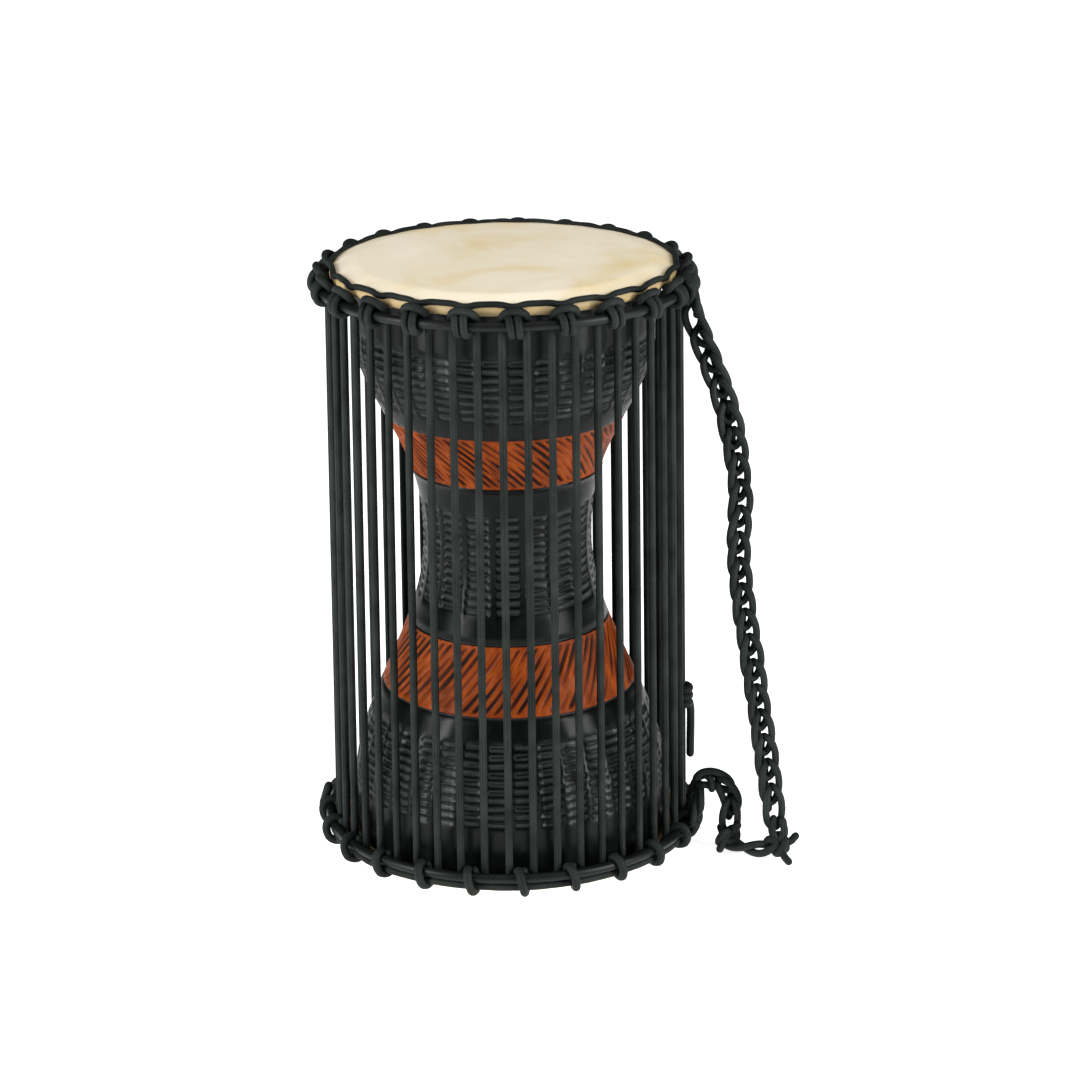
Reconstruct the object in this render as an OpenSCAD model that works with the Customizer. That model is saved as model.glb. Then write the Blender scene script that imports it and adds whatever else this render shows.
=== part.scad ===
// Hourglass talking drum: a waisted wooden shell with a head at each end,
// laced from ring to ring. Squeezing the lacing pulls both heads tighter.
// Millimetres, +Z up, origin on the ground at the centre of the lower head.

/* [Shell] */
// Height over both heads
drum_h = 396; // [360:1:440]
// Outside diameter of the shell at the upper mouth
top_mouth_d = 195; // [180:1:215]
// Outside diameter of the shell at the lower mouth
bottom_mouth_d = 208; // [190:1:230]
// Outside diameter of the waist
waist_d = 111; // [90:1:130]
// Height of the narrowest place of the waist
waist_z = 208; // [190:1:225]
// Height of the upper bowl's flare, from the waist up
top_flare_h = 137; // [110:1:150]
// Height of the lower bowl's flare, from the waist down
bottom_flare_h = 168; // [130:1:180]
// Thickness of the shell's wall
shell_wall = 7; // [5:0.5:10]
// Width of the flat edge that each head bears on
bearing_w = 3; // [2:0.5:4]

/* [Heads] */
// Thickness of the goatskin
skin_t = 0.8; // [0.5:0.1:1.2]
// Diameter of the flesh hoop's rod
hoop_d = 6.2; // [5:0.1:8]
// Room between the shell and the rolled rim of the upper skin
top_hoop_gap = 6.5; // [3:0.1:10]
// Room between the shell and the rolled rim of the lower skin
bottom_hoop_gap = 2.8; // [2:0.1:8]
// Depth of the flesh hoop's centre line under the face of the head
hoop_drop = 6.8; // [6:0.1:9]

/* [Lacing] */
// Number of hitches around each ring
hitch_count = 23; // [20:1:24]
// Turn of the first hitch from the front
hitch_turn = 3; // [0:0.5:7]
// Diameter of the lacing cord
cord_d = 5; // [4:0.1:5.5]
// Diameter of the rod of each lacing ring
ring_d = 6.4; // [5.5:0.1:8]
// Depth of each ring's plane inside the face of its head
ring_drop = 15; // [14:0.1:18]
// How far each ring's rod stands outside the rolled rim of its head
ring_reach = 3.8; // [3.3:0.1:6.8]
// Diameter of the crown cord that runs along each rim
crown_d = 4.5; // [3.5:0.1:5]
// Diameter of the crown cord's wraps round the ring
wrap_d = 4.6; // [4:0.1:5]
// Hitches carried by each moving sector of the lacing
sector_hitches = 2; // [2:1:3]

/* [Strap] */
// Outside diameter of the strap's long chain
strap_d = 17; // [14:0.5:20]
// Outside diameter of the strap's short chain
short_strap_d = 14.5; // [12:0.5:18]
// Diameter of the cord that the strap is stitched from
strap_cord_d = 5; // [4:0.1:6]

/* [Hidden] */
$fn = 48;
// sides of the cords, and of the turned and bent round pieces
cord_sides = 24;
ring_sides = 96;
// running clearance between pieces that lie side by side
gap = 0.3;
// room left at the pivot end of each lacing run
pivot_gap = 0.6;
// room left where the two halves of a lacing run meet
mid_gap = 1.4;
// clearance of the hoop inside the rolled skin
roll_gap = 0.1;

top_hoop_r = top_mouth_d / 2 + top_hoop_gap + roll_r();
bottom_hoop_r = bottom_mouth_d / 2 + bottom_hoop_gap + roll_r();
// from the centre of the hoop's rod out to the centre of the ring's
ring_out = roll_r() + ring_reach + ring_d / 2;
top_ring_r = top_hoop_r + ring_out;
bottom_ring_r = bottom_hoop_r + ring_out;
// the lacing runs just inside the rings
run_inset = ring_d / 2 + gap + cord_d / 2;
top_run_r = top_ring_r - run_inset;
bottom_run_r = bottom_ring_r - run_inset;
top_pivot_z = drum_h - ring_drop;
bottom_pivot_z = ring_drop;
run_lean = atan((bottom_run_r - top_run_r) / (top_pivot_z - bottom_pivot_z));
half_run = (top_pivot_z - bottom_pivot_z) / cos(run_lean) / 2;
hitch_step = 360 / hitch_count;
// half of the angle between the two runs of one hitch
run_spread = hitch_step / 4;
sector_count = ceil(hitch_count / sector_hitches);

function roll_r() = hoop_d / 2 + roll_gap + skin_t;
function two_digits(i) = str(i < 10 ? "0" : "", i);

FIXED_NODES = [
  "drum_shell",
  "top_skin", "bottom_skin",
  "top_flesh_hoop", "bottom_flesh_hoop",
  "top_lacing_ring", "bottom_lacing_ring",
  "top_crown_cord", "bottom_crown_cord",
  "top_ring_wraps", "bottom_ring_wraps",
  "top_lacing_bights", "bottom_lacing_bights",
  "strap_long", "strap_long_knot",
  "strap_short", "strap_short_knot",
  "strap_top_hitch", "strap_bottom_hitch",
  "lacing_end_knot", "lacing_start_tuck"
];
UPPER_NODES = [for (i = [1:sector_count]) str("lacing_upper_", two_digits(i))];
LOWER_NODES = [for (i = [1:sector_count]) str("lacing_lower_", two_digits(i))];

// ---- outline of the shell ----
// Smooth rise from 0 to 1; a power over 1 keeps the start of the flare slim.
function flare(t, power) = let (s = pow(min(1, max(0, t)), power)) s * s * (3 - 2 * s);
upper_power = 1.35;
lower_power = 1.05;
function shell_r(z) = waist_d / 2 + (z > waist_z
  ? (top_mouth_d - waist_d) / 2 * flare((z - waist_z) / top_flare_h, upper_power)
  : (bottom_mouth_d - waist_d) / 2 * flare((waist_z - z) / bottom_flare_h, lower_power));
outline_steps = 44;
shell_z0 = skin_t;
shell_z1 = drum_h - skin_t;
edge_round = 4;
outline_z = [for (i = [0:outline_steps])
  shell_z0 + edge_round + (shell_z1 - shell_z0 - 2 * edge_round) * i / outline_steps];

// Turned and carved hollow shell with a rounded bearing edge at each mouth.
module drum_shell() color("#1d1f1f")
  rotate_extrude($fn = ring_sides)
    polygon(concat(
      [[shell_r(0) - shell_wall, shell_z0], [shell_r(0) - shell_wall + bearing_w, shell_z0]],
      [[shell_r(0) - 1, shell_z0 + 1.5]],
      [for (z = outline_z) [shell_r(z), z]],
      [[shell_r(drum_h) - 1, shell_z1 - 1.5]],
      [[shell_r(drum_h) - shell_wall + bearing_w, shell_z1], [shell_r(drum_h) - shell_wall, shell_z1]],
      [for (i = [outline_steps:-1:0]) [shell_r(outline_z[i]) - shell_wall, outline_z[i]]]
    ));

// ---- one end of the drum, drawn for the upper end ----
// Places its children at an end: the lower end is the upper one turned over.
module at_end(top) {
  if (top)
    translate([0, 0, drum_h]) children();
  else
    mirror([0, 0, 1]) children();
}

// Goatskin: a flat head whose rim slopes down and is rolled round the hoop.
module skin(hoop_r, mouth_r) color("#efe6d2") {
  flat_r = mouth_r - shell_wall + bearing_w;
  rotate_extrude($fn = ring_sides) {
    // face and slope, in one outline
    polygon([
      [0, -skin_t], [flat_r, -skin_t],
      [hoop_r - 1, -hoop_drop + roll_r() - skin_t],
      [hoop_r, -hoop_drop + roll_r() - skin_t],
      [hoop_r, -hoop_drop + roll_r()],
      [hoop_r - 1, -hoop_drop + roll_r()],
      [flat_r, 0], [0, 0]
    ]);
    // roll round the hoop, open towards the shell
    difference() {
      translate([hoop_r, -hoop_drop]) circle(r = roll_r());
      translate([hoop_r, -hoop_drop]) circle(r = roll_r() - skin_t);
      translate([hoop_r - 10, -hoop_drop - 2]) square([10, hoop_d + 2]);
    }
  }
}

// Rod bent to a full ring.
module rod_ring(r, d, z) translate([0, 0, z])
  rotate_extrude($fn = ring_sides) translate([r, 0]) circle(d = d, $fn = cord_sides);

module flesh_hoop(hoop_r) color("#b08a58") rod_ring(hoop_r, hoop_d, -hoop_drop);

module lacing_ring(hoop_r) color("#1f2223") rod_ring(hoop_r + ring_out, ring_d, -ring_drop);

module crown_cord(hoop_r) color("#26292a") rod_ring(hoop_r + crown_reach, crown_d, -crown_drop);

// The crown cord lies on the shoulder of the rolled rim.
crown_drop = crown_d / 2 + gap / 2;
crown_apart = crown_d / 2 + roll_r() + gap / 2;
crown_rise = hoop_drop - crown_drop;
crown_reach = sqrt(crown_apart * crown_apart - crown_rise * crown_rise);

// Turns its children to each hitch in turn, with +X pointing outwards.
module each_hitch()
  for (i = [0:hitch_count - 1])
    rotate(hitch_turn - 90 + i * hitch_step) children();

// Arc of cord round a rod that lies along Y, from one angle above +X to another.
module arc_round_rod(r, d, from, to)
  rotate([90, 0, 0])
    rotate([0, 0, from])
      rotate_extrude(angle = to - from) translate([r, 0]) circle(d = d, $fn = cord_sides);

// Wraps of the crown cord round the ring: most of a turn, open at the inner side.
wrap_r = ring_d / 2 + gap / 2 + wrap_d / 2;
wrap_slant = 12;
// how far each wrap reaches round the ring, from its outer side down and up
wrap_down = 130;
wrap_up = 120;
module ring_wraps(hoop_r, slant) color("#2b2f2e")
  each_hitch()
    translate([hoop_r + ring_out, 0, -ring_drop])
      rotate([slant, 0, 0]) arc_round_rod(wrap_r, wrap_d, -wrap_down, wrap_up);

// A bight of the lacing cord: up behind the ring, leaning out between the ring and the crown cord,
// over the wrap, and down again.
bight_start = 1.2;
// room between a bight and the crown cord, and between a bight and the wrap under it
crown_clear = 0.1;
wrap_clear = 0.45;
off_ring = ring_d / 2 + gap / 2 + cord_d / 2;
off_crown = crown_d / 2 + crown_clear + cord_d / 2;
off_wrap = wrap_r + wrap_d / 2 + wrap_clear + cord_d / 2;
module lacing_bights(hoop_r) color("#33383a") {
  ring_r = hoop_r + ring_out;
  bight_r = (ring_r - run_inset) * sin(run_spread);
  // the ring's curve draws it in between the middle of the hitch and the bight's legs
  leg_ring_r = sqrt(ring_r * ring_r - bight_r * bight_r);
  crown_in = leg_ring_r - hoop_r - crown_reach;
  crown_up = ring_drop - crown_drop;
  lean = asin((off_ring + off_crown) / norm([crown_in, crown_up])) - atan(crown_in / crown_up);
  leg = off_ring * tan(lean) + sqrt(off_wrap * off_wrap - off_ring * off_ring) - bight_r;
  each_hitch()
    translate([leg_ring_r - off_ring / cos(lean), 0, -ring_drop])
      rotate([0, lean, 0]) {
        for (side = [-1, 1])
          translate([0, side * bight_r, bight_start])
            cylinder(d = cord_d, h = leg - bight_start, $fn = cord_sides);
        translate([0, 0, leg])
          rotate([90, 0, 90])
            rotate_extrude(angle = 180) translate([bight_r, 0]) circle(d = cord_d, $fn = cord_sides);
      }
}

// ---- lacing runs, in sectors that swing inwards when the drum is squeezed ----
// One half of one run, from its pivot at the ring to the middle of the drum.
module half_run_cord(upper)
  translate([upper ? top_run_r : bottom_run_r, 0, upper ? top_pivot_z : bottom_pivot_z])
    rotate([0, upper ? 180 - run_lean : -run_lean, 0])
      translate([0, 0, pivot_gap])
        cylinder(d = cord_d, h = half_run - pivot_gap - mid_gap / 2, $fn = cord_sides);

module lacing_sector(sector, upper) color("#3c4240") {
  first = (sector - 1) * sector_hitches;
  last = min(first + sector_hitches, hitch_count) - 1;
  for (i = [first:last])
    for (side = [-1, 1])
      rotate(hitch_turn - 90 + i * hitch_step + side * run_spread) half_run_cord(upper);
}

// ---- ends of the lacing cord ----
// The hitches beside which the cord is tied off and starts, counted from the first.
end_hitch = 5;
start_hitch = 17;
end_knot_z = 96;
end_knot_pitch = 1.2 * cord_d;
end_tail = 42;
start_stub = 17;
// room between the start's hook and the wrap beside it, and how far the hook reaches under the ring
start_clear = 1.6;
start_reach = 70;

// Turn of the cord round one run, with its tail hanging beside it.
module lacing_end_knot() color("#33383a")
  rotate(hitch_turn - 90 + end_hitch * hitch_step + run_spread)
    translate([bottom_run_r, 0, bottom_pivot_z])
      rotate([0, -run_lean, 0])
        translate([0, 0, end_knot_z - bottom_pivot_z]) {
          turn_r = cord_d + gap;
          for (lift = [0, end_knot_pitch])
            translate([0, 0, lift])
              rotate_extrude() translate([turn_r, 0]) circle(d = cord_d, $fn = cord_sides);
          translate([turn_r, 0, -end_tail]) cylinder(d = cord_d, h = end_tail, $fn = cord_sides);
        }

// Start of the cord: a hook under the lower ring and a stub beside a hitch.
module lacing_start_tuck() color("#33383a") {
  turn_r = ring_d / 2 + gap / 2 + cord_d / 2;
  beside = cord_d / 2 + wrap_d / 2 + start_clear;
  rotate(hitch_turn - 90 + start_hitch * hitch_step)
    translate([bottom_ring_r, -beside, ring_drop]) {
      arc_round_rod(turn_r, cord_d, -start_reach, 0);
      translate([turn_r, 0, 0]) cylinder(d = cord_d, h = start_stub, $fn = cord_sides);
    }
}

// ---- strap: two lengths of cord chain whose ends lie knotted on the ground ----
// Turn of the rings' place that the strap is looped on, between two hitches.
strap_turn = hitch_turn - 90 + (end_hitch - 0.5) * hitch_step;
// room between the rings and the strap's loops, which stay while the rings move
loop_gap = 1.3;
loop_r = ring_d / 2 + loop_gap + strap_cord_d / 2;
// how far the lower loop's strand reaches up beside the ring
loop_strand = 26;

// Where the strap is looped on each ring, seen from above.
top_loop_at = top_ring_r * [cos(strap_turn), sin(strap_turn)];
bottom_loop_at = bottom_ring_r * [cos(strap_turn), sin(strap_turn)];

// Routes run from the drum outwards, past the loop they hang from; the last point is above the knot.
// The long one gives its heights in thousandths of the upper ring's, the short one from the ground.
strap_long_points = [
  [5, -1, 976], [9, -3, 937], [18, -5, 874], [26, -7, 814], [33, -9, 727],
  [36, -11, 640], [35, -13, 554], [38, -15, 465], [43, -17, 378], [48, -19, 286],
  [53, -21, 197], [58, -23, 105], [61, -25, 48]
];
strap_long_route = [for (p = strap_long_points)
  [top_loop_at[0] + p[0], top_loop_at[1] + p[1], top_pivot_z * p[2] / 1000]];
strap_short_points = [
  [7.3, -2.3, 46], [13.3, -3.3, 49], [20.3, -5.3, 48], [26.3, -7.3, 43], [29.3, -9.3, 34], [28.3, -10.3, 20]
];
strap_short_route = [for (p = strap_short_points) [bottom_loop_at[0] + p[0], bottom_loop_at[1] + p[1], p[2]]];
strap_sides = 10;
long_knot_at = top_loop_at + [62, -26];
short_knot_at = bottom_loop_at + [26.3, -11.3];
link_at = bottom_loop_at + [37.3, -27.3];
tail_len = 15;
// ropes that lie on the ground stand this far clear of it
ground_gap = 0.6;

function along(route, i) = norm(route[i + 1] - route[i]);
function route_sums(route) =
  [for (i = 0, s = 0; i < len(route); s = s + (i < len(route) - 1 ? along(route, i) : 0), i = i + 1) s];
function at_length(route, sums, s) = let (
  i = max([for (k = [0:len(route) - 2]) sums[k] <= s ? k : 0]),
  t = (s - sums[i]) / along(route, i)
) route[i] + (route[i + 1] - route[i]) * t;
function unit(v) = v / norm(v);

// Round tube swept along a route; its rings stand square to the route.
module swept_tube(route, d, spacing) {
  sums = route_sums(route);
  total = sums[len(sums) - 1];
  count = ceil(total / spacing);
  centre = [for (k = [0:count]) at_length(route, sums, total * k / count)];
  heading = [for (k = [0:count]) unit(centre[min(k + 1, count)] - centre[max(k - 1, 0)])];
  side = [for (h = heading) unit(cross(h, [0.3, 1, 0.1]))];
  ring = [for (k = [0:count]) for (a = [0:strap_sides - 1])
    centre[k] + d / 2 * (cos(360 * a / strap_sides) * side[k]
    + sin(360 * a / strap_sides) * cross(heading[k], side[k]))];
  walls = [for (k = [0:count - 1]) for (a = [0:strap_sides - 1])
    let (b = (a + 1) % strap_sides, n = strap_sides)
      [k * n + a, (k + 1) * n + a, (k + 1) * n + b, k * n + b]];
  first_cap = [for (a = [0:strap_sides - 1]) a];
  last_cap = [for (a = [strap_sides - 1:-1:0]) count * strap_sides + a];
  polyhedron(ring, concat([first_cap], walls, [last_cap]));
}

module strap_long() color("#262a2a")
  swept_tube(strap_long_route, strap_d, 2 * strap_d);

module strap_short() color("#262a2a")
  swept_tube(strap_short_route, short_strap_d, short_strap_d / 2);

// Flat coil of cord lying on the ground.
module ground_coil(at, r, d) translate([at[0], at[1], d / 2 + ground_gap])
  rotate_extrude() translate([r, 0]) circle(d = d, $fn = cord_sides);

// Straight end of cord lying on the ground.
module ground_tail(at, turn, from, length)
  translate([at[0], at[1], strap_cord_d / 2 + ground_gap])
    rotate(turn) rotate([0, 90, 0]) translate([0, 0, from])
      cylinder(d = strap_cord_d, h = length, $fn = cord_sides);

// Knots are balls of cord, with their tails lying on the ground.
long_knot_d = 18;
short_knot_d = 16;
long_tail_turns = [28, -72];
link_r = 8;
module ground_knot(at, d) translate([at[0], at[1], d / 2 + ground_gap]) sphere(d = d);

// Knot at the end of the long chain, with two cut tails.
module strap_long_knot() color("#262a2a") {
  tail_from = long_knot_d / 4;
  ground_knot(long_knot_at, long_knot_d);
  for (turn = long_tail_turns)
    ground_tail(long_knot_at, turn, tail_from, tail_from + tail_len);
}

// Knot at the end of the short chain, and the loop that joins it to the long one.
module strap_short_knot() color("#262a2a") {
  ground_knot(short_knot_at, short_knot_d);
  ground_coil(link_at, link_r, strap_cord_d);
}

// Loop of the long chain over the upper ring.
module strap_top_hitch() color("#262a2a")
  rotate(strap_turn)
    translate([top_ring_r, 0, top_pivot_z]) arc_round_rod(loop_r, strap_cord_d, 0, 360);

// Loop of the short chain round the lower ring, with its strand up to the chain.
module strap_bottom_hitch() color("#262a2a")
  rotate(strap_turn)
    translate([bottom_ring_r, 0, bottom_pivot_z]) {
      arc_round_rod(loop_r, strap_cord_d, -180, 0);
      translate([loop_r, 0, 0]) cylinder(d = strap_cord_d, h = loop_strand, $fn = cord_sides);
    }

drum_shell();
at_end(true) skin(top_hoop_r, top_mouth_d / 2);  // top_skin
at_end(false) skin(bottom_hoop_r, bottom_mouth_d / 2);  // bottom_skin
at_end(true) flesh_hoop(top_hoop_r);  // top_flesh_hoop
at_end(false) flesh_hoop(bottom_hoop_r);  // bottom_flesh_hoop
at_end(true) lacing_ring(top_hoop_r);  // top_lacing_ring
at_end(false) lacing_ring(bottom_hoop_r);  // bottom_lacing_ring
at_end(true) crown_cord(top_hoop_r);  // top_crown_cord
at_end(false) crown_cord(bottom_hoop_r);  // bottom_crown_cord
at_end(true) ring_wraps(top_hoop_r, wrap_slant);  // top_ring_wraps
at_end(false) ring_wraps(bottom_hoop_r, -wrap_slant);  // bottom_ring_wraps
at_end(true) lacing_bights(top_hoop_r);  // top_lacing_bights
at_end(false) lacing_bights(bottom_hoop_r);  // bottom_lacing_bights
strap_long();
strap_long_knot();
strap_short();
strap_short_knot();
strap_top_hitch();
strap_bottom_hitch();
lacing_end_knot();
lacing_start_tuck();
for (i = [1:sector_count]) {
  lacing_sector(i, true);
  lacing_sector(i, false);
}
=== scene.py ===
import math
import random

import bpy
import numpy as np
from mathutils import Matrix, Vector


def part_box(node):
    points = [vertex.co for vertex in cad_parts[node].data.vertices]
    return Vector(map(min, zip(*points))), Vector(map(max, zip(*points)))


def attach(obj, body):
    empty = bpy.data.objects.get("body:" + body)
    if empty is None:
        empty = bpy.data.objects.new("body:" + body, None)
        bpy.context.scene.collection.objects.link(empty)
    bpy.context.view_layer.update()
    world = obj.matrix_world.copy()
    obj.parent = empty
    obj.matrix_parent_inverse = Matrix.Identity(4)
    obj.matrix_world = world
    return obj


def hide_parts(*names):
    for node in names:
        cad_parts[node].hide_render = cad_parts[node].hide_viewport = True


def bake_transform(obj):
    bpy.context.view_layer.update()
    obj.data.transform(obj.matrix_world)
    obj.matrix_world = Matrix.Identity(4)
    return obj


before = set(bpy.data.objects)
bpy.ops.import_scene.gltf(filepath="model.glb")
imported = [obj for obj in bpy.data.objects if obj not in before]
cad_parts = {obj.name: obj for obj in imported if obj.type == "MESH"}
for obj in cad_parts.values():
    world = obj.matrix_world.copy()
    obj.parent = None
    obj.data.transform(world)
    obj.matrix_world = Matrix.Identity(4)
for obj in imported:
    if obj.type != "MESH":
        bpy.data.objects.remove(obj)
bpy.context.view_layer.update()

mm = 0.001
print("frame loaded:", len(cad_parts), "nodes")


# Camera, at standing height a little over two metres away.
cameraView = {
    "place": (0.0, -2.147, 0.923),
    "pitchDown": 18.40,
    "turnRight": 0.45,
    "roll": -0.67,
    "lens": 115.9,
    "sensor": 36.0,
}


def makeCamera(view):
    pitch, turn, roll = (math.radians(view[k]) for k in ("pitchDown", "turnRight", "roll"))
    ahead = Vector((math.sin(turn) * math.cos(pitch), math.cos(turn) * math.cos(pitch), -math.sin(pitch)))
    level = Vector((math.cos(turn), -math.sin(turn), 0))
    upright = level.cross(ahead)
    right = level * math.cos(roll) + upright * math.sin(roll)
    up = upright * math.cos(roll) - level * math.sin(roll)
    data = bpy.data.cameras.new("studioCamera")
    data.lens = view["lens"]
    data.sensor_width = view["sensor"]
    data.clip_end = 60
    camera = bpy.data.objects.new("studioCamera", data)
    facing = Matrix((right, up, -ahead)).transposed().to_4x4()
    camera.matrix_world = Matrix.Translation(view["place"]) @ facing
    bpy.context.scene.collection.objects.link(camera)
    bpy.context.scene.camera = camera


makeCamera(cameraView)


# An sRGB hex colour as Blender's linear values.
def linearColour(hexText):
    values = [int(hexText[i:i + 2], 16) / 255 for i in (1, 3, 5)]
    return tuple(v / 12.92 if v <= 0.04045 else ((v + 0.055) / 1.055) ** 2.4 for v in values) + (1.0,)


def addNode(tree, kind, inputs=None, **options):
    node = tree.nodes.new(kind)
    for name, value in options.items():
        setattr(node, name, value)
    for name, value in (inputs or {}).items():
        socket = node.inputs[name]
        if isinstance(value, bpy.types.NodeSocket):
            tree.links.new(value, socket)
        else:
            socket.default_value = value
    return node


def newMaterial(name):
    material = bpy.data.materials.new(name)
    material.use_nodes = True
    tree = material.node_tree
    tree.nodes.clear()
    surface = addNode(tree, "ShaderNodeBsdfPrincipled")
    output = addNode(tree, "ShaderNodeOutputMaterial", {"Surface": surface.outputs["BSDF"]})
    output.location = (400, 0)
    return material, tree, surface


def colourRamp(tree, factor, stops):
    ramp = addNode(tree, "ShaderNodeValToRGB", {"Fac": factor})
    while len(ramp.color_ramp.elements) < len(stops):
        ramp.color_ramp.elements.new(0.5)
    for element, (place, hexText) in zip(ramp.color_ramp.elements, stops):
        element.position = place
        element.color = linearColour(hexText)
    return ramp.outputs["Color"]


def meshPiece(name, points, faces, materials, slots=None, smooth=True):
    mesh = bpy.data.meshes.new(name)
    mesh.from_pydata(np.asarray(points, float).tolist(), [], faces)
    for material in materials:
        mesh.materials.append(material)
    if slots is not None:
        mesh.polygons.foreach_set("material_index", np.asarray(slots, np.int32))
    mesh.polygons.foreach_set("use_smooth", np.full(len(mesh.polygons), smooth))
    mesh.update()
    piece = bpy.data.objects.new(name, mesh)
    bpy.context.scene.collection.objects.link(piece)
    return piece


# Smooth line through the given points, several steps to each span.
def smoothLine(points, steps, closed=False):
    p = np.asarray(points, float)
    if closed:
        p = np.vstack([p[-1], p, p[0], p[1]])
    else:
        p = np.vstack([2 * p[0] - p[1], p, 2 * p[-1] - p[-2]])
    t = np.linspace(0, 1, steps, endpoint=False)[:, None]
    spans = []
    for a, b, c, d in zip(p, p[1:], p[2:], p[3:]):
        square = 2 * a - 5 * b + 4 * c - d
        cube = 3 * b - a - 3 * c + d
        spans.append(0.5 * (2 * b + (c - a) * t + square * t ** 2 + cube * t ** 3))
    line = np.vstack(spans)
    return line if closed else np.vstack([line, p[-2]])


# A point near a ring: turn in degrees, along the rim, outwards and up from the ring's rod.
def atRing(ringRadius, ringHeight, turn, along, out, up):
    angle = math.radians(turn) + along / ringRadius
    radius = ringRadius + out
    return (radius * math.cos(angle), radius * math.sin(angle), ringHeight + up)


# Geometry Nodes: a round cord swept along a path.
# It keeps where each point lies round the cord and how far along, which the braid follows.
def buildSweepTree():
    tree = bpy.data.node_groups.new("sweepCord", "GeometryNodeTree")
    face = tree.interface
    face.new_socket("Path", in_out="INPUT", socket_type="NodeSocketGeometry")
    face.new_socket("Diameter", in_out="INPUT", socket_type="NodeSocketFloat")
    face.new_socket("Sides", in_out="INPUT", socket_type="NodeSocketInt")
    face.new_socket("Finish", in_out="INPUT", socket_type="NodeSocketMaterial")
    face.new_socket("Geometry", in_out="OUTPUT", socket_type="NodeSocketGeometry")
    given = addNode(tree, "NodeGroupInput").outputs
    length = addNode(tree, "GeometryNodeSplineParameter").outputs["Length"]
    keepLength = addNode(tree, "GeometryNodeCaptureAttribute", {"Geometry": given["Path"]})
    keepLength.capture_items.new("FLOAT", "Length")
    tree.links.new(length, keepLength.inputs["Length"])
    circle = addNode(tree, "GeometryNodeCurvePrimitiveCircle", {"Resolution": given["Sides"], "Radius": 1.0})
    place = addNode(tree, "GeometryNodeInputPosition").outputs["Position"]
    keepPlace = addNode(tree, "GeometryNodeCaptureAttribute", {"Geometry": circle.outputs["Curve"]})
    keepPlace.capture_items.new("VECTOR", "Round")
    tree.links.new(place, keepPlace.inputs["Round"])
    taper = addNode(tree, "GeometryNodeInputRadius").outputs["Radius"]
    half = addNode(tree, "ShaderNodeMath", {0: given["Diameter"], 1: 0.5}, operation="MULTIPLY").outputs[0]
    scale = addNode(tree, "ShaderNodeMath", {0: taper, 1: half}, operation="MULTIPLY").outputs[0]
    tube = addNode(tree, "GeometryNodeCurveToMesh", {
        "Curve": keepLength.outputs["Geometry"], "Profile Curve": keepPlace.outputs["Geometry"],
        "Scale": scale, "Fill Caps": True})
    parts = addNode(tree, "ShaderNodeSeparateXYZ", {0: keepPlace.outputs["Round"]}).outputs
    lay = addNode(tree, "ShaderNodeCombineXYZ", {0: parts[0], 1: parts[1], 2: keepLength.outputs["Length"]})
    store = addNode(tree, "GeometryNodeStoreNamedAttribute", {
        "Geometry": tube.outputs["Mesh"], "Name": "lay"}, data_type="FLOAT_VECTOR", domain="POINT")
    tree.links.new(lay.outputs[0], store.inputs["Value"])
    smooth = addNode(tree, "GeometryNodeSetShadeSmooth", {"Geometry": store.outputs["Geometry"]})
    real = addNode(tree, "GeometryNodeRealizeInstances", {"Geometry": smooth.outputs["Geometry"]})
    finish = addNode(tree, "GeometryNodeSetMaterial", {
        "Geometry": real.outputs["Geometry"], "Material": given["Finish"]})
    addNode(tree, "NodeGroupOutput", {"Geometry": finish.outputs["Geometry"]})
    return tree


sweepTree = buildSweepTree()
# A cord's rounded end: how far past the path and how thick, both as shares of its radius.
roundTip = [(math.sin(math.radians(a)), math.cos(math.radians(a))) for a in (35, 60, 78, 87)]


# One piece made of several swept cords; paths are lists of points in millimetres.
def sweptCords(name, paths, diameter, sides, material, closed=False):
    data = bpy.data.curves.new(name + "Path", "CURVE")
    data.dimensions = "3D"
    for path in paths:
        line = np.asarray(path, float) * mm
        taper = np.ones(len(line))
        if not closed:
            r = diameter * mm / 2
            for end, inner in ((0, 1), (-1, -2)):
                away = line[end] - line[inner]
                away = away / np.linalg.norm(away)
                tip = np.array([line[end] + away * r * s for s, c in roundTip])
                tipTaper = np.array([c for s, c in roundTip])
                if end == 0:
                    line, taper = np.vstack([tip[::-1], line]), np.concatenate([tipTaper[::-1], taper])
                else:
                    line, taper = np.vstack([line, tip]), np.concatenate([taper, tipTaper])
        spline = data.splines.new("POLY")
        spline.points.add(len(line) - 1)
        spline.points.foreach_set("co", np.hstack([line, np.ones((len(line), 1))]).ravel())
        spline.points.foreach_set("radius", taper)
        spline.use_cyclic_u = closed
    path = bpy.data.objects.new(name + "Path", data)
    bpy.context.scene.collection.objects.link(path)
    modifier = path.modifiers.new("sweep", "NODES")
    modifier.node_group = sweepTree
    values = {"Diameter": diameter * mm, "Sides": sides, "Finish": material}
    for item in sweepTree.interface.items_tree:
        if item.item_type == "SOCKET" and item.name in values:
            modifier[item.identifier] = values[item.name]
    bpy.context.view_layer.update()
    depsgraph = bpy.context.evaluated_depsgraph_get()
    mesh = bpy.data.meshes.new_from_object(path.evaluated_get(depsgraph), preserve_all_data_layers=True,
                                           depsgraph=depsgraph)
    mesh.name = name
    if not mesh.materials:
        mesh.materials.append(material)
    piece = bpy.data.objects.new(name, mesh)
    bpy.context.scene.collection.objects.link(piece)
    bpy.data.objects.remove(path)
    return piece


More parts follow.
